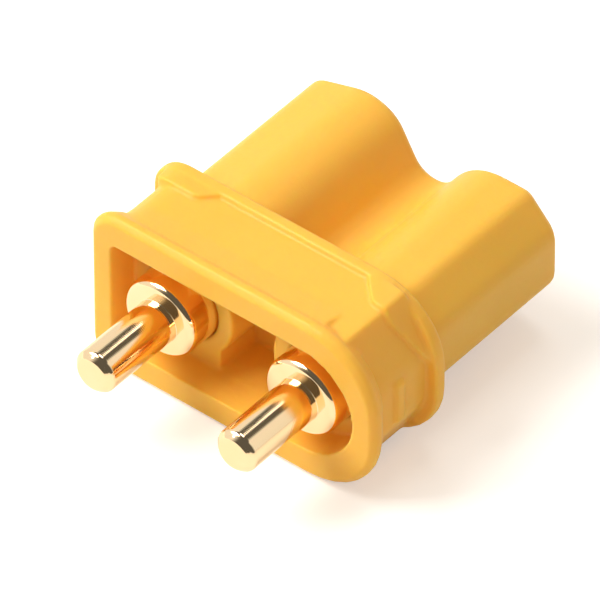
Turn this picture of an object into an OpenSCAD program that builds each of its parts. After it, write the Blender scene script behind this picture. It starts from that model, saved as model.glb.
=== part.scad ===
// Two-pole board-mount battery power connector, socket side.
// X runs from the square "+" end to the rounded "-" end, Y runs from the
// board pins to the mating end, Z is up with the part lying on its broad face.

/* [Contacts] */
// distance between the two contact axes
pitch = 5.0; // [4:0.1:7]
// diameter of the board pins
pin_d = 1.36; // [1:0.02:1.8]
// length of a board pin in front of the rim face
pin_len = 2.88; // [2:0.05:5]
// chamfer at the tip of a board pin
pin_tip = 0.18; // [0.05:0.01:0.4]
// diameter of the shoulder that shows inside the cup
shoulder_d = 2.48; // [2:0.02:2.8]
// how far the shoulder stands in front of the rim face
shoulder_proud = 0.05; // [0:0.01:0.5]
// rounding of the shoulder front edge
shoulder_round = 0.22; // [0.05:0.01:0.4]
// outside diameter of the socket barrel
barrel_d = 2.9; // [2.6:0.02:3.1]
// diameter of the hole in the socket barrel
socket_d = 2.0; // [1.5:0.02:2.3]
// depth of the hole in the socket barrel
socket_depth = 5.0; // [3:0.1:5.4]
// lead-in chamfer at the socket mouth
socket_lead = 0.2; // [0.05:0.01:0.35]
// distance of the socket mouth behind the mating face
socket_recess = 0.35; // [0.1:0.05:1]
// radial gap between a contact and the housing
contact_gap = 0.03; // [0.01:0.01:0.1]

/* [Rim and cup] */
// outer width of the whole part
body_w = 10.2; // [9.6:0.05:12]
// outer thickness of the rim
rim_t = 5.5; // [5.2:0.05:6.5]
// how far the square end of the rim is set in from the full width
rim_inset = 0.15; // [0:0.01:0.4]
// length of the rim lip
lip_len = 0.8; // [0.5:0.05:1.2]
// corner radius at the square end of the rim
rim_r_square = 0.85; // [0.2:0.05:1.2]
// corner radius at the rounded end of the rim
rim_r_round = 2.35; // [1.5:0.05:2.6]
// bevel around the front edge of the rim
rim_bevel = 0.16; // [0.05:0.01:0.3]
// slope behind the rim lip
lip_slope = 0.22; // [0.05:0.01:0.3]
// height of the cup opening
cup_h = 3.62; // [3.2:0.02:4]
// distance from the square end wall of the cup to the near contact axis
cup_side = 1.7; // [1.5:0.05:1.9]
// corner radius at the square end of the cup
cup_r = 0.25; // [0.1:0.05:0.6]
// depth of the cup down to the round seats
cup_depth = 1.0; // [0.5:0.05:1.2]
// radius of the round seat behind each shoulder
seat_r = 1.78; // [1.5:0.02:1.9]
// depth of the pocket between the two seats
pocket_depth = 2.35; // [1.2:0.05:2.8]
// half width of the pocket between the two seats
pocket_half = 1.15; // [0.8:0.05:1.3]

/* [Head and collar] */
// thickness of the head between lip and collar
head_t = 4.98; // [4.6:0.02:5.3]
// distance of the square head face from the middle
head_square = 4.62; // [4.4:0.02:4.9]
// distance of the other end face from the middle
head_round = 4.66; // [4.4:0.02:4.9]
// corner radius at the square end of the head
head_r = 0.9; // [0.3:0.05:1.2]
// width of the slanted face of the head
head_slant_w = 0.92; // [0.5:0.02:1.2]
// height of the slanted face of the head
head_slant_h = 1.68; // [1:0.02:2]
// where the collar starts on the head
collar_y = 2.86; // [2.4:0.02:3.2]
// length of the collar
collar_len = 0.48; // [0.3:0.02:1]
// thickness of the collar
collar_t = 5.3; // [5:0.02:5.5]
// corner radius at the square end of the collar
collar_r = 1.0; // [0.3:0.05:1.2]
// width of the slanted corner of the collar
collar_slant_w = 1.5; // [1:0.05:2]
// height of the slanted corner of the collar
collar_slant_h = 1.6; // [1:0.05:2]
// bevel around both edges of the collar
collar_bevel = 0.12; // [0.05:0.01:0.2]
// how far the corner lugs reach in front of the collar
lug_len = 0.76; // [0.3:0.02:1]
// where a corner lug starts, from the middle
lug_x = 2.6; // [2.4:0.05:3.4]
// width of the front of a lug at the rounded end
lug_w = 0.62; // [0.5:0.02:0.8]
// thickness left free between an upper and a lower lug
lug_free = 4.3; // [3:0.1:4.6]

/* [Mating part] */
// length from the rim face to the mating face
total_len = 9.05; // [8:0.05:12]
// width of the mating part
mate_w = 8.7; // [8.3:0.02:9.2]
// thickness of the mating part over the lobes
mate_t = 3.84; // [3.6:0.02:4.2]
// extra height of the crown on the lobe at the square side
crown = 0.2; // [0.02:0.01:0.3]
// thickness of the web between the lobes
waist_t = 1.0; // [0.7:0.05:2]
// half width of the valley at the web
valley_foot = 0.55; // [0.3:0.05:0.8]
// half width of the valley at the top of the lobes
valley_top = 1.84; // [1.4:0.02:2]
// rounding at the foot of the valley
valley_r_foot = 0.5; // [0.2:0.05:0.8]
// rounding of the lobe shoulders beside the valley
valley_r_top = 0.75; // [0.2:0.05:1]
// corner radius at the square end of the mating part
mate_r = 0.55; // [0.2:0.05:0.8]
// width of the slanted face of the mating part
mate_slant_w = 0.98; // [0.6:0.02:1.2]
// height of the slanted face of the mating part
mate_slant_h = 1.04; // [0.6:0.02:1.2]
// bevel around the mating face
mate_bevel = 0.18; // [0.05:0.01:0.35]
// diameter of the small gate mark on the square side
gate_d = 0.3; // [0.2:0.05:0.8]
// how far the gate mark stands proud
gate_proud = 0.06; // [0.04:0.01:0.15]

/* [Polarity marks] */
// length of the strokes of both marks
mark_len = 1.4; // [1:0.05:1.7]
// width of the strokes of both marks
mark_w = 0.36; // [0.2:0.02:0.5]
// how far the marks stand proud
mark_proud = 0.12; // [0.05:0.01:0.2]

/* [Hidden] */
half_w = body_w / 2;
rim_z = rim_t / 2;
head_z = head_t / 2;
collar_z = collar_t / 2;
collar_end = collar_y + collar_len;
mate_x = mate_w / 2;
mate_z = mate_t / 2;
px = pitch / 2;
hole_r = shoulder_d / 2 + contact_gap;
bore_r = barrel_d / 2 + contact_gap;
// the barrel end sits on the web at this depth
web_y = 2.7;
mouth_y = total_len - socket_recess;
gate_y = collar_end + 3.1;
gate_z = mate_z / 2;
mid_y = (total_len - pin_len) / 2;
mark_y = (lip_len + collar_y) / 2;
over = 0.3;
arc_n = 8;
$fn = 64;

// corner list turned into a list with rounded corners
function unit(v) = v / norm(v);
function turn(a) = a > 180 ? a - 360 : (a < -180 ? a + 360 : a);
function corner(a, p, b, r) =
    let (u = unit(a - p), v = unit(b - p),
         h = acos(max(-1, min(1, u * v))) / 2,
         c = p + unit(u + v) * r / sin(h),
         s = p + u * r / tan(h), e = p + v * r / tan(h),
         a0 = atan2(s[1] - c[1], s[0] - c[0]),
         da = turn(atan2(e[1] - c[1], e[0] - c[0]) - a0))
    [for (i = [0 : arc_n]) c + r * [cos(a0 + da * i / arc_n), sin(a0 + da * i / arc_n)]];
function rounded(pts, rs) =
    let (n = len(pts))
    [for (i = [0 : n - 1]) each corner(pts[(i + n - 1) % n], pts[i], pts[(i + 1) % n], rs[i])];

// rim outline, shrunk by d
function rim_line(d) = rounded(
    [[-half_w + rim_inset + d, -rim_z + d], [half_w - d, -rim_z + d],
     [half_w - d, rim_z - d], [-half_w + rim_inset + d, rim_z - d]],
    [rim_r_square - d, rim_r_round - d, rim_r_round - d, rim_r_square - d]);

// outline with two slanted corners at the +X end, shrunk by d
function slant_line(x0, x1, z, sw, sh, r0, r1, d) = rounded(
    [[x0 + d, -z + d], [x1 - sw - d / 2, -z + d], [x1 - d, -z + sh + d / 2],
     [x1 - d, z - sh - d / 2], [x1 - sw - d / 2, z - d], [x0 + d, z - d]],
    [r0 - d, r1, r1, r1, r1, r0 - d]);

function head_line(d) = slant_line(-head_square, head_round, head_z,
    head_slant_w, head_slant_h, head_r, 0.15, d);
function collar_line(d) = slant_line(-half_w, half_w - 0.05, collar_z,
    collar_slant_w, collar_slant_h, collar_r, 0.7, d);
// convex outline about the mating part, shrunk by d, for the bevel at its end
function mate_hull_line(d) = rounded(
    [[-mate_x + d, -mate_z + 0.1 + d], [-px - 0.2, -mate_z - crown + d],
     [mate_x - mate_slant_w - d / 2, -mate_z + d], [mate_x - d, -mate_z + mate_slant_h + d / 2],
     [mate_x - d, mate_z - mate_slant_h - d / 2], [mate_x - mate_slant_w - d / 2, mate_z - d],
     [-px - 0.2, mate_z + crown - d], [-mate_x + d, mate_z - 0.1 - d]],
    [mate_r, 1.8, 0.35, 0.5, 0.5, 0.35, 1.8, mate_r]);

// one half of the eight-shaped section: +X end first, square end last
function mate_half() =
    [[mate_x, mate_z - mate_slant_h], [mate_x - mate_slant_w, mate_z],
     [valley_top, mate_z], [valley_foot, waist_t / 2],
     [-valley_foot, waist_t / 2], [-valley_top, mate_z + 0.04],
     [-px - 0.2, mate_z + crown], [-mate_x, mate_z - 0.1]];
function mate_half_r() =
    [0.5, 0.35, valley_r_top, valley_r_foot, valley_r_foot, valley_r_top, 1.8, mate_r];
function mirrored(l) = [for (i = [len(l) - 1 : -1 : 0]) [l[i][0], -l[i][1]]];
function mate_line() = rounded(
    concat(mate_half(), mirrored(mate_half())),
    concat(mate_half_r(), [for (i = [7 : -1 : 0]) mate_half_r()[i]]));

// section drawn in X and Z, running from y0 to y1
module run(y0, y1) {
    translate([0, y1, 0]) rotate([90, 0, 0]) linear_extrude(y1 - y0) children();
}

// cylinder along Y
module rod(x, y0, y1, r) {
    translate([x, y1, 0]) rotate([90, 0, 0]) cylinder(h = y1 - y0, r = r);
}

module rim_lip() {
    thin = 0.02;
    hull() {
        run(0, thin) polygon(rim_line(rim_bevel));
        run(rim_bevel, lip_len - lip_slope) polygon(rim_line(0));
        run(lip_len - thin, lip_len) polygon(rim_line(lip_slope));
    }
}

module collar() {
    thin = 0.02;
    hull() {
        run(collar_y, collar_y + thin) polygon(collar_line(collar_bevel));
        run(collar_y + collar_bevel, collar_end - collar_bevel) polygon(collar_line(0));
        run(collar_end - thin, collar_end) polygon(collar_line(collar_bevel));
    }
}

// the collar reaches forward at its four corners
module lugs() {
    front = collar_y - lug_len;
    intersection() {
        run(front, collar_y + collar_bevel + 0.02) polygon(collar_line(collar_bevel / 4));
        union() {
            for (s = [-1, 1]) {
                x2 = s < 0 ? 0.08 - head_square : lug_x + lug_len + lug_w;
                lug = [[s * lug_x, collar_y + 1], [s * lug_x, collar_y],
                       [s * (lug_x + lug_len), front], [x2, front],
                       [x2, collar_y + 1]];
                translate([0, 0, lug_free / 2]) linear_extrude(rim_t)
                    polygon(rounded(lug, [0.1, 0.5, 0.4, 0.2, 0.1]));
                translate([0, 0, -lug_free / 2 - rim_t]) linear_extrude(rim_t)
                    polygon(rounded(lug, [0.1, 0.5, 0.4, 0.2, 0.1]));
            }
        }
    }
}

module mating_part() {
    thin = 0.02;
    intersection() {
        run(collar_end - over, total_len) polygon(mate_line());
        hull() {
            run(collar_end - over, total_len - mate_bevel) polygon(mate_hull_line(0));
            run(total_len - thin, total_len) polygon(mate_hull_line(mate_bevel));
        }
    }
}

module plus_mark() {
    x0 = -head_square - mark_proud;
    translate([x0, mark_y - mark_len / 2, -mark_w / 2])
        cube([mark_proud + over, mark_len, mark_w]);
    translate([x0, mark_y - mark_w / 2, -mark_len / 2])
        cube([mark_proud + over, mark_w, mark_len]);
}

module minus_mark() {
    translate([head_round - over, mark_y - mark_w, -mark_len / 2])
        cube([mark_proud + over, mark_w, mark_len]);
}

// opening of the cup: square at one end, round about the contact at the other
module cup_shape() {
    union() {
        polygon(rounded(
            [[-px - cup_side, -cup_h / 2], [px, -cup_h / 2],
             [px, cup_h / 2], [-px - cup_side, cup_h / 2]],
            [cup_r, 0.01, 0.01, cup_r]));
        translate([px, 0]) circle(d = cup_h);
    }
}

module cup_cuts() {
    run(-1, cup_depth) cup_shape();
    run(-1, pocket_depth) difference() {
        square([2 * pocket_half, cup_h - 0.04], center = true);
        for (s = [-1, 1]) translate([s * px, 0]) circle(r = seat_r);
    }
}

module contact_cuts() {
    for (s = [-1, 1]) {
        rod(s * px, -1, web_y + over, hole_r);
        rod(s * px, web_y, total_len + 1, bore_r);
        // mouth chamfer in the mating face
        translate([s * px, total_len - socket_recess / 2, 0]) rotate([-90, 0, 0])
            cylinder(h = socket_recess / 2 + 0.01, r1 = bore_r, r2 = bore_r + 0.12);
    }
}

module place() {
    translate([0, -mid_y, rim_z]) children();
}

module housing() {
    color([0.93, 0.72, 0.22]) place() difference() {
        union() {
            rim_lip();
            run(lip_len - over, collar_y + over) polygon(head_line(0));
            collar();
            lugs();
            mating_part();
            plus_mark();
            minus_mark();
            translate([-mate_x - gate_proud, gate_y, gate_z]) rotate([0, 90, 0])
                cylinder(h = gate_proud + over, d = gate_d);
        }
        cup_cuts();
        contact_cuts();
    }
}

// one turned piece: board pin, shoulder, stem, barrel with the socket hole
module contact(x) {
    pr = pin_d / 2;
    sr = shoulder_d / 2;
    br = barrel_d / 2;
    hr = socket_d / 2;
    n = 6;
    round_pts = [for (i = [0 : n]) [
        sr - shoulder_round + shoulder_round * sin(90 * i / n),
        -shoulder_proud + shoulder_round - shoulder_round * cos(90 * i / n)]];
    profile = concat(
        [[0, -pin_len], [pr - pin_tip, -pin_len], [pr, -pin_len + pin_tip],
         [pr, -shoulder_proud]],
        round_pts,
        [[sr, web_y], [br, web_y], [br, mouth_y - 0.15], [br - 0.15, mouth_y],
         [hr + socket_lead, mouth_y], [hr, mouth_y - socket_lead],
         [hr, mouth_y - socket_depth], [0, mouth_y - socket_depth - 0.35]]);
    place() translate([x, 0, 0]) rotate([-90, 0, 0])
        rotate_extrude() polygon(profile);
}

module positive_contact() {
    color([0.9, 0.72, 0.3]) contact(-px);
}

module negative_contact() {
    color([0.9, 0.72, 0.3]) contact(px);
}

housing();
positive_contact();
negative_contact();
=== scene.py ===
import bpy
import bmesh
import math
from mathutils import Vector, Matrix


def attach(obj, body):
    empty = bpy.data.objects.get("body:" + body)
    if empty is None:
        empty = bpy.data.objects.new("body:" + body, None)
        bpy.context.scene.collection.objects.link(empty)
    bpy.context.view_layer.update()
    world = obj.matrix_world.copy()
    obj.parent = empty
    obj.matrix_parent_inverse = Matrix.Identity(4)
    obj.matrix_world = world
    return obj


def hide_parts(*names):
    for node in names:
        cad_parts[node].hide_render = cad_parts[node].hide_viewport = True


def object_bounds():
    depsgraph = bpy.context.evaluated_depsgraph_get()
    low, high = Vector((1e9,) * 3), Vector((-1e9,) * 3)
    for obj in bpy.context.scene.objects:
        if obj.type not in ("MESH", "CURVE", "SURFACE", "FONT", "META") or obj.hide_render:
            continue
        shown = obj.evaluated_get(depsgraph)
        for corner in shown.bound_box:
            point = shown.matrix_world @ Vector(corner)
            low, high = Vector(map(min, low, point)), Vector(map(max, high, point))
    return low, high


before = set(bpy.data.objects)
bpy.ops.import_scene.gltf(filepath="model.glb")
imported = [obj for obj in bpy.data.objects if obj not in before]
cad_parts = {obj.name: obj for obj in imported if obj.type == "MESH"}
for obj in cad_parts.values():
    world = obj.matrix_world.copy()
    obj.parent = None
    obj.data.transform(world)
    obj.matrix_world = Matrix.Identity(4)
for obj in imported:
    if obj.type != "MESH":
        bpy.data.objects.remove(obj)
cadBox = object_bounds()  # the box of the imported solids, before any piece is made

mm = 0.001
rimPlace, midHeight = -3.085, 2.75  # the rim face along Y and the middle of the part, in millimetres
weldGap, sliverGap = 0.0005, 0.0002  # points and edges closer than this are merged, in millimetres
collection = bpy.context.scene.collection


def rowPoint(x, y, z):
    # sizes in millimetres: y from the rim face, z from mid height
    return Vector((x * mm, (y + rimPlace) * mm, (z + midHeight) * mm))


def addObject(name, data):
    obj = bpy.data.objects.new(name, data)
    collection.objects.link(obj)
    return obj


# camera: angles in degrees, distances in metres
view = {"azimuth": 39.2, "elevation": 42.6, "distance": 0.337, "lens": 735.0, "near": 0.01, "far": 2.0}


def makeCamera():
    lo, hi = cadBox
    a, e = math.radians(view["azimuth"]), math.radians(view["elevation"])
    back = Vector((math.sin(a) * math.cos(e), -math.cos(a) * math.cos(e), math.sin(e)))
    data = bpy.data.cameras.new("camera")
    data.lens, data.clip_start, data.clip_end = view["lens"], view["near"], view["far"]
    cam = addObject("camera", data)
    cam.location = (lo + hi) / 2 + back * view["distance"]
    cam.rotation_mode = "QUATERNION"
    cam.rotation_quaternion = (-back).to_track_quat("-Z", "Y")
    bpy.context.scene.camera = cam


makeCamera()
print("camera placed")

grain = {"fineScale": 9000.0, "fineDetail": 3.0, "slowScale": 260.0, "slowDetail": 2.0}


def makeGrainGroup():
    # fine surface grain for any finish: a height for the bump and a slow drift of tone
    group = bpy.data.node_groups.new("surfaceGrain", "ShaderNodeTree")
    new = group.interface.new_socket
    for label, value in (("Fine Scale", grain["fineScale"]), ("Slow Scale", grain["slowScale"])):
        new(label, in_out="INPUT", socket_type="NodeSocketFloat").default_value = value
    for label in ("Height", "Tone"):
        new(label, in_out="OUTPUT", socket_type="NodeSocketFloat")
    nodes, links = group.nodes, group.links
    given, result = nodes.new("NodeGroupInput"), nodes.new("NodeGroupOutput")
    coord = nodes.new("ShaderNodeTexCoord")
    for scale, detail, target in (("Fine Scale", grain["fineDetail"], "Height"),
                                  ("Slow Scale", grain["slowDetail"], "Tone")):
        noise = nodes.new("ShaderNodeTexNoise")
        noise.inputs["Detail"].default_value = detail
        links.new(coord.outputs["Object"], noise.inputs["Vector"])
        links.new(given.outputs[scale], noise.inputs["Scale"])
        links.new(noise.outputs["Fac"], result.inputs[target])
    return group


grainGroup = makeGrainGroup()


def newMaterial(name):
    mat = bpy.data.materials.new(name)
    mat.use_nodes = True
    nodes, links = mat.node_tree.nodes, mat.node_tree.links
    shader = next(n for n in nodes if n.type == "BSDF_PRINCIPLED")
    return mat, nodes, links, shader


def mixColour(nodes, links, factor, a, b):
    mix = nodes.new("ShaderNodeMix")
    mix.data_type = "RGBA"
    links.new(factor, mix.inputs["Factor"])
    mix.inputs[6].default_value, mix.inputs[7].default_value = a, b  # the colour pair of the node
    return mix.outputs[2]


def addTone(nodes, links, shader, finish):
    # colour and roughness drift slowly between the two ends of a finish
    node = nodes.new("ShaderNodeGroup")
    node.node_tree = grainGroup
    node.inputs["Fine Scale"].default_value = finish["fineScale"]
    node.inputs["Slow Scale"].default_value = finish["slowScale"]
    colour = mixColour(nodes, links, node.outputs["Tone"], finish["light"], finish["deep"])
    links.new(colour, shader.inputs["Base Color"])
    rough = nodes.new("ShaderNodeMapRange")
    rough.inputs["To Min"].default_value, rough.inputs["To Max"].default_value = finish["roughness"]
    links.new(node.outputs["Tone"], rough.inputs["Value"])
    links.new(rough.outputs["Result"], shader.inputs["Roughness"])
    return node.outputs["Height"]


def addBump(nodes, links, shader, finish, height):
    bump = nodes.new("ShaderNodeBump")
    bump.inputs["Strength"].default_value = finish["bumpStrength"]
    bump.inputs["Distance"].default_value = finish["bumpHeight"]
    links.new(height, bump.inputs["Height"])
    links.new(bump.outputs["Normal"], shader.inputs["Normal"])


# yellow moulded nylon, lengths in metres
nylon = {
    "light": (0.975, 0.548, 0.09, 1.0),
    "deep": (0.965, 0.512, 0.072, 1.0),
    "roughness": (0.36, 0.46),
    "fineScale": 7000.0, "slowScale": 300.0,
    "bumpStrength": 0.6, "bumpHeight": 0.012 * mm,
    "scatter": 0.5, "scatterRadius": (1.0, 0.36, 0.08), "scatterScale": 0.9 * mm,
    "ior": 1.5, "specular": 0.34, "specularTint": (1.0, 0.90, 0.68, 1.0),
}


def makeNylon():
    mat, nodes, links, shader = newMaterial("yellowNylon")
    height = addTone(nodes, links, shader, nylon)
    addBump(nodes, links, shader, nylon, height)
    shader.inputs["Subsurface Weight"].default_value = nylon["scatter"]
    shader.inputs["Subsurface Radius"].default_value = nylon["scatterRadius"]
    shader.inputs["Subsurface Scale"].default_value = nylon["scatterScale"]
    shader.inputs["IOR"].default_value = nylon["ior"]
    shader.inputs["Specular IOR Level"].default_value = nylon["specular"]
    shader.inputs["Specular Tint"].default_value = nylon["specularTint"]
    return mat


# gold plating on turned metal, lengths in metres
gold = {
    "light": (1.0, 0.78, 0.50, 1.0),
    "deep": (0.98, 0.70, 0.37, 1.0),
    "roughness": (0.07, 0.14),
    "fineScale": 12000.0, "slowScale": 700.0,
    "bumpStrength": 0.1, "bumpHeight": 0.004 * mm,
    "turnScale": 5200.0, "turnDistortion": 1.2, "turnDetail": 2.0,
}


def makeGold():
    mat, nodes, links, shader = newMaterial("goldPlate")
    addTone(nodes, links, shader, gold)
    shader.inputs["Metallic"].default_value = 1.0
    coord = nodes.new("ShaderNodeTexCoord")
    turning = nodes.new("ShaderNodeTexWave")  # fine rings left by the lathe
    turning.bands_direction = "Y"
    turning.inputs["Scale"].default_value = gold["turnScale"]
    turning.inputs["Distortion"].default_value = gold["turnDistortion"]
    turning.inputs["Detail"].default_value = gold["turnDetail"]
    links.new(coord.outputs["Object"], turning.inputs["Vector"])
    addBump(nodes, links, shader, gold, turning.outputs["Fac"])
    return mat


nylonMaterial, goldMaterial = makeNylon(), makeGold()
print("materials made")

# moulded housing in millimetres: sections lofted along Y, joined, cut out and softened
housing = {
    "halfWidth": 5.1, "length": 9.05, "spacing": 2.5,
    "joinDepth": 0.3, "cutPast": 1.0,  # how far joined and cutting solids reach into or past the body
    "rimHalf": 2.75, "rimInset": 0.15, "rimSquareRound": 0.85, "rimEndRound": 2.35, "rimBevel": 0.16,
    "lipFull": 0.34, "lipLength": 0.72, "lipSlope": 0.24,
    "fairLength": 0.7, "fairEnd": 2.95, "fairHeight": 2.70, "fairInset": 0.02,
    "headHalf": 2.49, "headSquare": 4.62, "headEnd": 4.66, "headRound": 0.9,
    "slantWidth": 0.92, "slantHeight": 1.68, "slantRound": 1.3, "slantTopRound": 0.15,
    "collarStart": 2.82, "collarEnd": 3.28, "collarHalf": 2.65, "collarBevel": 0.12,
    "collarInset": 0.08, "collarEndInset": 0.05, "collarSquareRound": 1.0, "collarEndRound": 2.25,
    "lugStart": 2.6, "lugReach": 0.78, "lugProud": 0.15, "lugFoot": 0.6, "lugOverlap": 0.02,
    "lugStartRound": 0.5, "lugFrontRound": 0.4, "lugSideRound": 0.1, "lugShoulder": 0.3,
    "lugSquareReach": 0.48, "lugSquareInset": 0.08, "lugSquareStartRound": 0.45,
    "lugSquareSideRound": 0.2, "lugInner": 2.15, "hiddenRound": 0.05,
    "mateHalfWidth": 4.38, "mateHalf": 1.92, "mateBevel": 0.18,
    "mateSlantWidth": 0.98, "mateSlantHeight": 1.04, "mateSideRound": 0.9, "mateSlantRound": 0.5,
    "webHalf": 0.5, "valleyTop": 1.52, "valleyTopRound": 1.8, "valleyFoot": 0.5, "valleyFootRound": 0.82,
    "fullFoot": 0.36, "fullFootRound": 0.68, "fullTop": 1.28, "fullTopRise": 0.2, "fullTopRound": 1.35,
    "crown": 0.50, "crownPlace": 2.35, "crownRound": 1.6,
    "squareInset": 0.03, "squareDrop": 0.12, "squareRound": 0.75,
    "cupHalf": 1.81, "cupSide": 1.7, "cupRound": 0.25, "cupFlat": 0.002, "cupSteps": 16,
    "cupStart": -1.0, "cupDepth": 1.0, "seatRadius": 1.78, "seatClip": 1.77,
    "pocketHalf": 1.15, "pocketStart": -0.9, "pocketDepth": 2.55, "pocketMargin": 0.02, "pocketSteps": 20,
    "holeRadius": 1.27, "holeStart": -1.1, "barrelHole": 1.48, "webDepth": 2.7,
    "mouthWiden": 0.12, "mouthDepth": 0.18, "mouthPast": 0.01,
    "markLength": 1.4, "markWidth": 0.36, "markProud": 0.12, "markPlace": 1.81,
    "gateRadius": 0.15, "gateProud": 0.06, "gatePlace": 6.4, "gateHeight": 0.96, "gateSteps": 16,
    "voxel": 0.055, "smooth": 5, "smoothFactor": 0.5, "keep": 0.40,
}


def roundedOutline(corners, steps=8):
    # corners as (across, up, radius), taken in turn
    points = []
    for i, (x, z, r) in enumerate(corners):
        before, after = Vector(corners[i - 1][:2]), Vector(corners[(i + 1) % len(corners)][:2])
        p = Vector((x, z))
        u, v = (before - p).normalized(), (after - p).normalized()
        half = u.angle(v) / 2
        centre = p + (u + v).normalized() * r / math.sin(half)
        start, end = p + u * r / math.tan(half) - centre, p + v * r / math.tan(half) - centre
        first = math.atan2(start.y, start.x)
        swing = (math.atan2(end.y, end.x) - first + math.pi) % math.tau - math.pi
        for k in range(steps + 1):
            a = first + swing * k / steps
            points.append(centre + r * Vector((math.cos(a), math.sin(a))))
    return points


def inset(outline, d):
    # every point moved inwards by d
    n = len(outline)
    turned = sum(outline[i - 1].x * outline[i].y - outline[i].x * outline[i - 1].y for i in range(n))
    side = d if turned > 0 else -d
    moved = []
    for i, p in enumerate(outline):
        along = (outline[(i + 1) % n] - outline[i - 1]).normalized()
        moved.append(p + Vector((-along.y, along.x)) * side)
    return moved


def mirroredEnd(corners):
    # upper corners followed by their mirror images below
    return corners + [(x, -z, r) for x, z, r in reversed(corners)]


def loft(sections, axis="Y"):
    # closed solid through sections of as many points each
    n = len(sections[0][1])
    order = {"X": lambda s, p: (s, p.x, p.y),
             "Y": lambda s, p: (p.x, s, p.y),
             "Z": lambda s, p: (p.x, p.y, s)}[axis]
    points = [order(s, p) for s, ring in sections for p in ring]
    faces = [(k * n + i, k * n + (i + 1) % n, (k + 1) * n + (i + 1) % n, (k + 1) * n + i)
             for k in range(len(sections) - 1) for i in range(n)]
    faces += [tuple(range(n)), tuple(range((len(sections) - 1) * n, len(sections) * n))]
    mesh = bpy.data.meshes.new("solid")
    mesh.from_pydata(points, [], faces)
    bm = bmesh.new()
    bm.from_mesh(mesh)
    bmesh.ops.remove_doubles(bm, verts=bm.verts, dist=weldGap)
    bmesh.ops.recalc_face_normals(bm, faces=bm.faces)
    bm.to_mesh(mesh)
    bm.free()
    return addObject("solid", mesh)


def block(x, y, z):
    # box from the lowest and highest value along each axis
    ring = [Vector(p) for p in ((x[0], z[0]), (x[1], z[0]), (x[1], z[1]), (x[0], z[1]))]
    return loft([(y[0], ring), (y[1], ring)])


def rod(x, ends, steps=48):
    # round solid along Y through (place, radius) pairs
    ring = [Vector((math.cos(math.tau * k / steps), math.sin(math.tau * k / steps))) for k in range(steps)]
    return loft([(y, [Vector((x, 0)) + p * r for p in ring]) for y, r in ends])


def combine(base, operation, others):
    for other in others:
        step = base.modifiers.new(operation.lower(), "BOOLEAN")
        step.operation, step.solver, step.object = operation, "EXACT", other
    result = bpy.data.meshes.new_from_object(base.evaluated_get(bpy.context.evaluated_depsgraph_get()))
    base.modifiers.clear()
    base.data = result
    for other in others:
        bpy.data.objects.remove(other)
    return base


def rimOutline(h):
    left, right, up = h["rimInset"] - h["halfWidth"], h["halfWidth"], h["rimHalf"]
    return roundedOutline([(left, -up, h["rimSquareRound"]), (right, -up, h["rimEndRound"]),
                           (right, up, h["rimEndRound"]), (left, up, h["rimSquareRound"])])


def headOutline(h, grow=0.0):
    square, end, top = h["headSquare"] + grow, h["headEnd"] + grow, h["headHalf"] + grow
    return roundedOutline(mirroredEnd([
        (end, top - h["slantHeight"] - grow / 2, h["slantRound"]),
        (end - h["slantWidth"] - grow / 2, top, h["slantTopRound"]),
        (-square, top, h["headRound"] + grow)]))


def collarOutline(h):
    left, right = h["collarInset"] - h["halfWidth"], h["halfWidth"] - h["collarEndInset"]
    up = h["collarHalf"]
    return roundedOutline([(left, -up, h["collarSquareRound"]), (right, -up, h["collarEndRound"]),
                           (right, up, h["collarEndRound"]), (left, up, h["collarSquareRound"])])


def mateOutline(h):
    # two lobes joined by a thin web; the lobe at the square end is crowned
    x, z = h["mateHalfWidth"], h["mateHalf"]
    return roundedOutline(mirroredEnd([
        (x, z - h["mateSlantHeight"], h["mateSideRound"]),
        (x - h["mateSlantWidth"], z, h["mateSlantRound"]),
        (h["valleyTop"], z, h["valleyTopRound"]),
        (h["valleyFoot"], h["webHalf"], h["valleyFootRound"]),
        (-h["fullFoot"], h["webHalf"], h["fullFootRound"]),
        (-h["fullTop"], z + h["fullTopRise"], h["fullTopRound"]),
        (-h["crownPlace"], z + h["crown"], h["crownRound"]),
        (-x + h["squareInset"], z - h["squareDrop"], h["squareRound"])]))


def makeFairing(h):
    # the broad faces slope gently from the lip to the head and stop short of the rounded end
    end = [Vector((min(p.x, h["fairEnd"]), p.y)) for p in inset(headOutline(h), h["fairInset"])]
    start = [Vector((p.x, p.y * h["fairHeight"] / h["headHalf"])) for p in end]
    return loft([(h["lipFull"], start), (h["lipLength"] + h["fairLength"], end)])


def makeEndLugs(h):
    # one solid wraps the head's slanted corners above and below at the rounded end
    start, inner = h["collarStart"], h["lugStart"]
    back, front = start + h["collarBevel"] + h["lugOverlap"], start - h["lugReach"]
    high, side, behind = h["rimHalf"] * 2, h["halfWidth"], start + h["cutPast"]
    plan = roundedOutline([(inner, behind, h["hiddenRound"]), (inner, start, h["lugStartRound"]),
                           (inner + h["lugReach"], front, h["lugFrontRound"]),
                           (side, front, h["lugSideRound"]), (side, behind, h["hiddenRound"])])
    flank = [Vector(p) for p in ((front, h["headHalf"] - h["lugShoulder"]), (start, h["lugFoot"]),
                                 (back, h["lugFoot"]), (back, high), (front, high))]
    wrap = headOutline(h, h["lugProud"])
    lug = loft([(front, wrap), (back, wrap)])
    limits = [loft([(-high, plan), (high, plan)], "Z"), loft([(-side, flank), (side, flank)], "X")]
    return combine(lug, "INTERSECT", limits)


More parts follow.
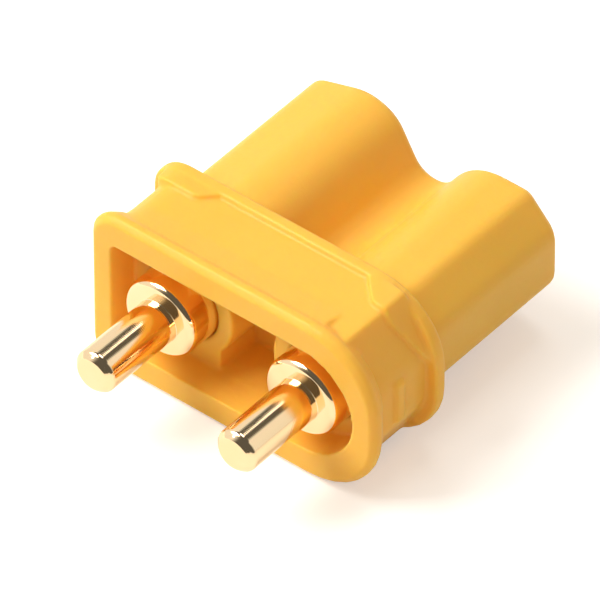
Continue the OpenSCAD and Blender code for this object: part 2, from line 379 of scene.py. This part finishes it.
def makeSquareLugs(h):
    # two low lugs follow the collar at the square end, one above and one below
    start, inner = h["collarStart"], h["lugStart"]
    back, front = start + h["collarBevel"] + h["lugOverlap"], start - h["lugSquareReach"]
    high, left, behind = h["rimHalf"] * 2, h["lugSquareInset"] - h["headSquare"], start + h["cutPast"]
    plan = roundedOutline([(-inner, behind, h["hiddenRound"]), (-inner, start, h["lugSquareStartRound"]),
                           (-inner - h["lugSquareReach"], front, h["lugFrontRound"]),
                           (left, front, h["lugSquareSideRound"]), (left, behind, h["hiddenRound"])])
    lugs = []
    for z in ((h["lugInner"], high), (-high, -h["lugInner"])):
        wrap = inset(collarOutline(h), h["collarBevel"] / 4)
        lug = loft([(front, wrap), (back, wrap)])
        lugs.append(combine(lug, "INTERSECT", [loft([(z[0], plan), (z[1], plan)], "Z")]))
    return lugs


def makeMarks(h):
    # plus on the square end, minus on the other
    y, half, long = h["markPlace"], h["markWidth"] / 2, h["markLength"] / 2
    left, right = -h["headSquare"], h["headEnd"]
    leftSpan = (left - h["markProud"], left + h["joinDepth"])
    rightSpan = (right - h["joinDepth"], right + h["markProud"])
    return [block(leftSpan, (y - long, y + long), (-half, half)),
            block(leftSpan, (y - half, y + half), (-long, long)),
            block(rightSpan, (y - 2 * half, y), (-long, long))]


def makeGate(h):
    # small round mark on the side of the square lobe
    ring = []
    for k in range(h["gateSteps"]):
        a = math.tau * k / h["gateSteps"]
        ring.append(Vector((h["gatePlace"] + h["gateRadius"] * math.cos(a),
                            h["gateHeight"] + h["gateRadius"] * math.sin(a))))
    left = -h["mateHalfWidth"]
    return loft([(left - h["gateProud"], ring), (left + h["joinDepth"], ring)], "X")


def makeCuts(h):
    # the cup, the pocket between the seats, the stem holes and the barrel holes
    near, far, up = h["spacing"] + h["cupSide"], h["spacing"] + h["cupHalf"], h["cupHalf"]
    cup = roundedOutline([(-near, -up, h["cupRound"]), (far, -up, up - h["cupFlat"]),
                          (far, up, up - h["cupFlat"]), (-near, up, h["cupRound"])], h["cupSteps"])
    side = []
    for k in range(2 * h["pocketSteps"] + 1):
        z = (up - h["pocketMargin"]) * (k / h["pocketSteps"] - 1)
        seat = h["spacing"] - math.sqrt(h["seatRadius"] ** 2 - min(abs(z), h["seatClip"]) ** 2)
        side.append((min(h["pocketHalf"], seat), z))
    pocket = [Vector(p) for p in side] + [Vector((-x, z)) for x, z in reversed(side)]
    cuts = [loft([(h["cupStart"], cup), (h["cupDepth"], cup)]),
            loft([(h["pocketStart"], pocket), (h["pocketDepth"], pocket)])]
    hole, barrel, mouth = h["holeRadius"], h["barrelHole"], h["barrelHole"] + h["mouthWiden"]
    for x in (-h["spacing"], h["spacing"]):
        cuts.append(rod(x, [(h["holeStart"], hole), (h["webDepth"] + h["joinDepth"], hole)]))
        cuts.append(rod(x, [(h["webDepth"], barrel), (h["length"] - h["mouthDepth"], barrel),
                            (h["length"] + h["mouthPast"], mouth), (h["length"] + h["cutPast"], mouth)]))
    return cuts


def softened(obj, h):
    # one even skin over the joined solids, with every edge rounded as a moulding's is
    skin = obj.modifiers.new("skin", "REMESH")
    skin.mode = "VOXEL"
    skin.voxel_size = h["voxel"]
    soft = obj.modifiers.new("soft", "SMOOTH")
    soft.factor, soft.iterations = h["smoothFactor"], h["smooth"]
    thin = obj.modifiers.new("thin", "DECIMATE")
    thin.ratio = h["keep"]
    result = bpy.data.meshes.new_from_object(obj.evaluated_get(bpy.context.evaluated_depsgraph_get()))
    obj.modifiers.clear()
    return result


def makeHousing():
    h = housing
    rim, head, collar, mate = rimOutline(h), headOutline(h), collarOutline(h), mateOutline(h)
    join, bevel = h["joinDepth"], h["collarBevel"]
    body = loft([(0, inset(rim, h["rimBevel"])), (h["rimBevel"], rim),
                 (h["lipFull"], rim), (h["lipLength"], inset(rim, h["lipSlope"]))])
    solids = [loft([(h["lipLength"] - join, head), (h["collarStart"] + join, head)]), makeFairing(h)]
    solids.append(loft([(h["collarStart"], inset(collar, bevel / 2)), (h["collarStart"] + bevel / 2, collar),
                        (h["collarEnd"] - bevel, collar), (h["collarEnd"], inset(collar, bevel))]))
    solids.append(loft([(h["collarEnd"] - join, mate), (h["length"] - h["mateBevel"], mate),
                        (h["length"], inset(mate, h["mateBevel"]))]))
    solids += [makeGate(h), makeEndLugs(h)] + makeSquareLugs(h) + makeMarks(h)
    obj = combine(body, "UNION", solids)
    combine(obj, "DIFFERENCE", makeCuts(h))
    print("housing joined and cut:", len(obj.data.polygons), "faces")
    mesh = softened(obj, h)
    mesh.transform(Matrix.Translation(rowPoint(0, 0, 0)) @ Matrix.Scale(mm, 4))
    obj.data = mesh
    obj.name = mesh.name = "housingShell"
    mesh.materials.clear()
    mesh.materials.append(nylonMaterial)
    mesh.polygons.foreach_set("use_smooth", [True] * len(mesh.polygons))
    print("housing shell:", len(mesh.polygons), "faces")
    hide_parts("housing")
    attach(obj, "root")


makeHousing()

# turned contacts in millimetres: a profile revolved by a Geometry Nodes tree
contact = {
    "spacing": 5.0, "segments": 96, "cornerSteps": 4, "cornerShare": 0.45,
    "pinRadius": 0.68, "pinLength": 2.88, "tip": 0.18, "tipFaceRound": 0.05, "tipSideRound": 0.07,
    "proud": 0.05, "rootRound": 0.03, "shoulderRadius": 1.24, "shoulderRound": 0.33,
    "seat": 2.7, "stepRound": 0.04, "barrelRadius": 1.45, "mouth": 8.70, "mouthRound": 0.15,
    "boreRadius": 1.0, "boreDepth": 5.0, "boreRound": 0.05, "boreCone": 0.35,
    "leadIn": 0.2, "leadRound": 0.03,
}


def softCorners(corners, steps, share):
    # rounds an open profile of (radius, place, rounding)
    out = []
    for i, (x, y, r) in enumerate(corners):
        if r == 0:
            out.append((x, y))
            continue
        p = Vector((x, y))
        a, b = Vector(corners[i - 1][:2]) - p, Vector(corners[i + 1][:2]) - p
        cut = min(r, a.length * share, b.length * share)
        s, e = p + a.normalized() * cut, p + b.normalized() * cut
        for k in range(steps + 1):
            t = k / steps
            out.append(tuple(s * (1 - t) ** 2 + p * 2 * t * (1 - t) + e * t ** 2))
    return out


def contactProfile(c):
    pin, stem, barrel, bore = c["pinRadius"], c["shoulderRadius"], c["barrelRadius"], c["boreRadius"]
    front, face, mouth = -c["pinLength"], -c["proud"], c["mouth"]
    corners = [(0.0, front, 0), (pin - c["tip"], front, c["tipFaceRound"]),
               (pin, front + c["tip"], c["tipSideRound"]), (pin, face, c["rootRound"]),
               (stem, face, c["shoulderRound"]), (stem, c["seat"], c["stepRound"]),
               (barrel, c["seat"], c["stepRound"]), (barrel, mouth, c["mouthRound"]),
               (bore + c["leadIn"], mouth, c["leadRound"]), (bore, mouth - c["leadIn"], c["boreRound"]),
               (bore, mouth - c["boreDepth"], c["boreRound"]),
               (0.0, mouth - c["boreDepth"] - c["boreCone"], 0)]
    return softCorners(corners, c["cornerSteps"], c["cornerShare"])


def makeLatheTree():
    # a grid of rings by segments, each point placed from the profile and turned about the axis
    tree = bpy.data.node_groups.new("turnedPart", "GeometryNodeTree")
    tree.interface.new_socket("Profile", in_out="INPUT", socket_type="NodeSocketGeometry")
    for label, kind, value in (("Segments", "NodeSocketInt", 96), ("Rings", "NodeSocketInt", 40),
                               ("Axis X", "NodeSocketFloat", 0.0), ("Axis Z", "NodeSocketFloat", 0.0)):
        tree.interface.new_socket(label, in_out="INPUT", socket_type=kind).default_value = value
    tree.interface.new_socket("Finish", in_out="INPUT", socket_type="NodeSocketMaterial")
    tree.interface.new_socket("Part", in_out="OUTPUT", socket_type="NodeSocketGeometry")
    nodes, links = tree.nodes, tree.links
    given, result = nodes.new("NodeGroupInput"), nodes.new("NodeGroupOutput")

    def calc(operation, a, b=0.0):
        node = nodes.new("ShaderNodeMath")
        node.operation = operation
        for i, value in enumerate((a, b)):
            if isinstance(value, (int, float)):
                node.inputs[i].default_value = value
            else:
                links.new(value, node.inputs[i])
        return node.outputs[0]

    grid = nodes.new("GeometryNodeMeshGrid")
    links.new(calc("ADD", given.outputs["Segments"], 1), grid.inputs["Vertices X"])
    links.new(given.outputs["Rings"], grid.inputs["Vertices Y"])
    index = nodes.new("GeometryNodeInputIndex").outputs[0]
    ring = calc("MODULO", index, given.outputs["Rings"])
    step = calc("FLOOR", calc("DIVIDE", calc("ADD", index, 0.5), given.outputs["Rings"]))
    angle = calc("MULTIPLY", calc("DIVIDE", step, given.outputs["Segments"]), math.tau)
    sample = nodes.new("GeometryNodeSampleIndex")
    sample.data_type = "FLOAT_VECTOR"
    links.new(given.outputs["Profile"], sample.inputs["Geometry"])
    links.new(nodes.new("GeometryNodeInputPosition").outputs[0], sample.inputs["Value"])
    links.new(calc("ROUND", ring), sample.inputs["Index"])
    parts = nodes.new("ShaderNodeSeparateXYZ")
    links.new(sample.outputs[0], parts.inputs[0])
    place = nodes.new("ShaderNodeCombineXYZ")
    for turn, axis, target in (("COSINE", "Axis X", "X"), ("SINE", "Axis Z", "Z")):
        across = calc("MULTIPLY", parts.outputs["X"], calc(turn, angle))
        links.new(calc("ADD", across, given.outputs[axis]), place.inputs[target])
    links.new(parts.outputs["Y"], place.inputs["Y"])
    move = nodes.new("GeometryNodeSetPosition")
    links.new(grid.outputs["Mesh"], move.inputs["Geometry"])
    links.new(place.outputs[0], move.inputs["Position"])
    weld = nodes.new("GeometryNodeMergeByDistance")
    weld.inputs["Distance"].default_value = weldGap * mm
    links.new(move.outputs[0], weld.inputs["Geometry"])
    smooth = nodes.new("GeometryNodeSetShadeSmooth")
    links.new(weld.outputs[0], smooth.inputs["Geometry"])
    realize = nodes.new("GeometryNodeRealizeInstances")
    links.new(smooth.outputs[0], realize.inputs[0])
    paint = nodes.new("GeometryNodeSetMaterial")
    links.new(realize.outputs[0], paint.inputs["Geometry"])
    links.new(given.outputs["Finish"], paint.inputs["Material"])
    links.new(paint.outputs[0], result.inputs["Part"])
    return tree


def setInput(modifier, tree, label, value):
    for item in tree.interface.items_tree:
        if item.item_type == "SOCKET" and item.in_out == "INPUT" and item.name == label:
            modifier[item.identifier] = value


def outward(mesh):
    bm = bmesh.new()
    bm.from_mesh(mesh)
    bmesh.ops.remove_doubles(bm, verts=bm.verts, dist=weldGap * mm)
    bmesh.ops.dissolve_degenerate(bm, dist=sliverGap * mm, edges=bm.edges)
    bmesh.ops.recalc_face_normals(bm, faces=bm.faces)
    if bm.calc_volume(signed=True) < 0:
        bmesh.ops.reverse_faces(bm, faces=bm.faces)
    print("  open edges:", sum(not e.is_manifold for e in bm.edges))
    bm.to_mesh(mesh)
    bm.free()


latheTree = makeLatheTree()


def makeContact(name, side, node):
    points = [rowPoint(r, y, 0) for r, y in contactProfile(contact)]
    line = bpy.data.meshes.new(name)
    line.from_pydata([(p.x, p.y, 0.0) for p in points], [(i, i + 1) for i in range(len(points) - 1)], [])
    obj = addObject(name, line)
    mod = obj.modifiers.new("turned", "NODES")
    mod.node_group = latheTree
    setInput(mod, latheTree, "Segments", contact["segments"])
    setInput(mod, latheTree, "Rings", len(points))
    setInput(mod, latheTree, "Axis X", side * contact["spacing"] / 2 * mm)
    setInput(mod, latheTree, "Axis Z", rowPoint(0, 0, 0).z)
    setInput(mod, latheTree, "Finish", goldMaterial)
    graph = bpy.context.evaluated_depsgraph_get()
    baked = bpy.data.meshes.new_from_object(obj.evaluated_get(graph))
    obj.modifiers.clear()
    obj.data = baked
    outward(baked)
    baked.polygons.foreach_set("use_smooth", [True] * len(baked.polygons))
    print(name, len(baked.polygons), "faces")
    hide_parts(node)
    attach(obj, "root")


makeContact("positiveTurned", -1, "positive_contact")
makeContact("negativeTurned", 1, "negative_contact")
print("contacts turned")

# floor and background: sizes in metres, strengths where 1 is white
studio = {
    "floorSize": 0.6, "floorColour": (0.86, 0.86, 0.86, 1.0), "floorRoughness": 0.9, "floorSpecular": 0.1,
    "floorLift": 0.42, "floorGlossLift": 0.18,
    "skyDiffuse": 0.43, "skyTint": (1.0, 0.84, 0.62, 1.0), "white": (1.0, 1.0, 1.0, 1.0),
    "room": 0.11, "sweep": 0.95, "sweepTop": (0.72, 0.80), "sweepEdge": (-0.55, -0.15),
    "aim": (0, 3, 0), "lampDistance": 0.22,
}
# lamps: direction to the camera's right, up and away from the camera, then size and power
lamps = {
    "keyBox": {"right": -0.80, "up": 0.95, "away": 0.05,
               "size": 0.13, "power": 0.49, "colour": (1.0, 0.985, 0.95)},
    "topBox": {"right": 0.12, "up": 1.0, "away": 0.25,
               "size": 0.08, "power": 0.07, "colour": (1.0, 1.0, 1.0)},
}
right = Vector((math.cos(math.radians(view["azimuth"])), math.sin(math.radians(view["azimuth"])), 0))
forward = Vector((-right.y, right.x, 0))


def makeFloor():
    mesh = bpy.data.meshes.new("floor")
    h = studio["floorSize"]
    mesh.from_pydata([(-h, -h, 0), (h, -h, 0), (h, h, 0), (-h, h, 0)], [], [(0, 1, 2, 3)])
    floor = addObject("floor", mesh)
    mat, nodes, links, shader = newMaterial("paleFloor")
    shader.inputs["Base Color"].default_value = studio["floorColour"]
    shader.inputs["Roughness"].default_value = studio["floorRoughness"]
    shader.inputs["Specular IOR Level"].default_value = studio["floorSpecular"]
    path = nodes.new("ShaderNodeLightPath")
    lift = nodes.new("ShaderNodeMath")  # white for the camera, a little for metal, and the shadow stays
    lift.operation = "MULTIPLY_ADD"
    lift.inputs[1].default_value = studio["floorLift"]
    glossy = nodes.new("ShaderNodeMath")
    glossy.operation = "MULTIPLY"
    glossy.inputs[1].default_value = studio["floorGlossLift"]
    links.new(path.outputs["Is Glossy Ray"], glossy.inputs[0])
    links.new(path.outputs["Is Camera Ray"], lift.inputs[0])
    links.new(glossy.outputs[0], lift.inputs[2])
    shader.inputs["Emission Color"].default_value = studio["white"]
    links.new(lift.outputs[0], shader.inputs["Emission Strength"])
    mesh.materials.append(mat)


def smoothStep(nodes, links, value, ends, targets=(0.0, 1.0)):
    node = nodes.new("ShaderNodeMapRange")
    node.interpolation_type = "SMOOTHSTEP"
    node.inputs["From Min"].default_value, node.inputs["From Max"].default_value = ends
    node.inputs["To Min"].default_value, node.inputs["To Max"].default_value = targets
    links.new(value, node.inputs["Value"])
    return node.outputs["Result"]


def makeWorld():
    # even light for soft shade; metal sees a pale sweep behind the part and a dim room above and in front
    world = bpy.data.worlds.new("softStudio")
    bpy.context.scene.world = world
    world.use_nodes = True
    nodes, links = world.node_tree.nodes, world.node_tree.links
    background = next(n for n in nodes if n.type == "BACKGROUND")
    coord = nodes.new("ShaderNodeTexCoord")
    parts = nodes.new("ShaderNodeSeparateXYZ")
    links.new(coord.outputs["Generated"], parts.inputs[0])
    along = nodes.new("ShaderNodeVectorMath")
    along.operation = "DOT_PRODUCT"
    along.inputs[1].default_value = forward
    links.new(coord.outputs["Generated"], along.inputs[0])
    both = nodes.new("ShaderNodeMath")
    both.operation = "MULTIPLY"
    links.new(smoothStep(nodes, links, parts.outputs["Z"], studio["sweepTop"], (1.0, 0.0)), both.inputs[0])
    links.new(smoothStep(nodes, links, along.outputs["Value"], studio["sweepEdge"]), both.inputs[1])
    room = nodes.new("ShaderNodeMapRange")
    room.inputs["To Min"].default_value, room.inputs["To Max"].default_value = studio["room"], studio["sweep"]
    links.new(both.outputs[0], room.inputs["Value"])
    path = nodes.new("ShaderNodeLightPath")
    glossy = nodes.new("ShaderNodeMix")
    links.new(path.outputs["Is Glossy Ray"], glossy.inputs["Factor"])
    glossy.inputs["A"].default_value = studio["skyDiffuse"]
    links.new(room.outputs["Result"], glossy.inputs["B"])
    seen = nodes.new("ShaderNodeMix")
    links.new(path.outputs["Is Camera Ray"], seen.inputs["Factor"])
    links.new(glossy.outputs[0], seen.inputs["A"])
    seen.inputs["B"].default_value = 1.0
    links.new(seen.outputs[0], background.inputs["Strength"])
    plain = nodes.new("ShaderNodeMath")  # no tint where the camera or metal looks
    plain.operation = "MAXIMUM"
    links.new(path.outputs["Is Camera Ray"], plain.inputs[0])
    links.new(path.outputs["Is Glossy Ray"], plain.inputs[1])
    colour = mixColour(nodes, links, plain.outputs[0], studio["skyTint"], studio["white"])
    links.new(colour, background.inputs["Color"])


def makeLamp(name, lamp):
    data = bpy.data.lights.new(name, "AREA")
    data.shape = "RECTANGLE"
    data.size = data.size_y = lamp["size"]
    data.energy = lamp["power"]
    data.color = lamp["colour"]
    obj = addObject(name, data)
    d = (right * lamp["right"] + Vector((0, 0, lamp["up"])) + forward * lamp["away"]).normalized()
    obj.location = rowPoint(*studio["aim"]) + d * studio["lampDistance"]
    obj.rotation_mode = "QUATERNION"
    obj.rotation_quaternion = d.to_track_quat("Z", "Y")
    obj.visible_camera = False


makeFloor()
makeWorld()
for lampName, lamp in lamps.items():
    makeLamp(lampName, lamp)

scene = bpy.context.scene
scene.view_settings.view_transform = "Standard"
print("studio set")
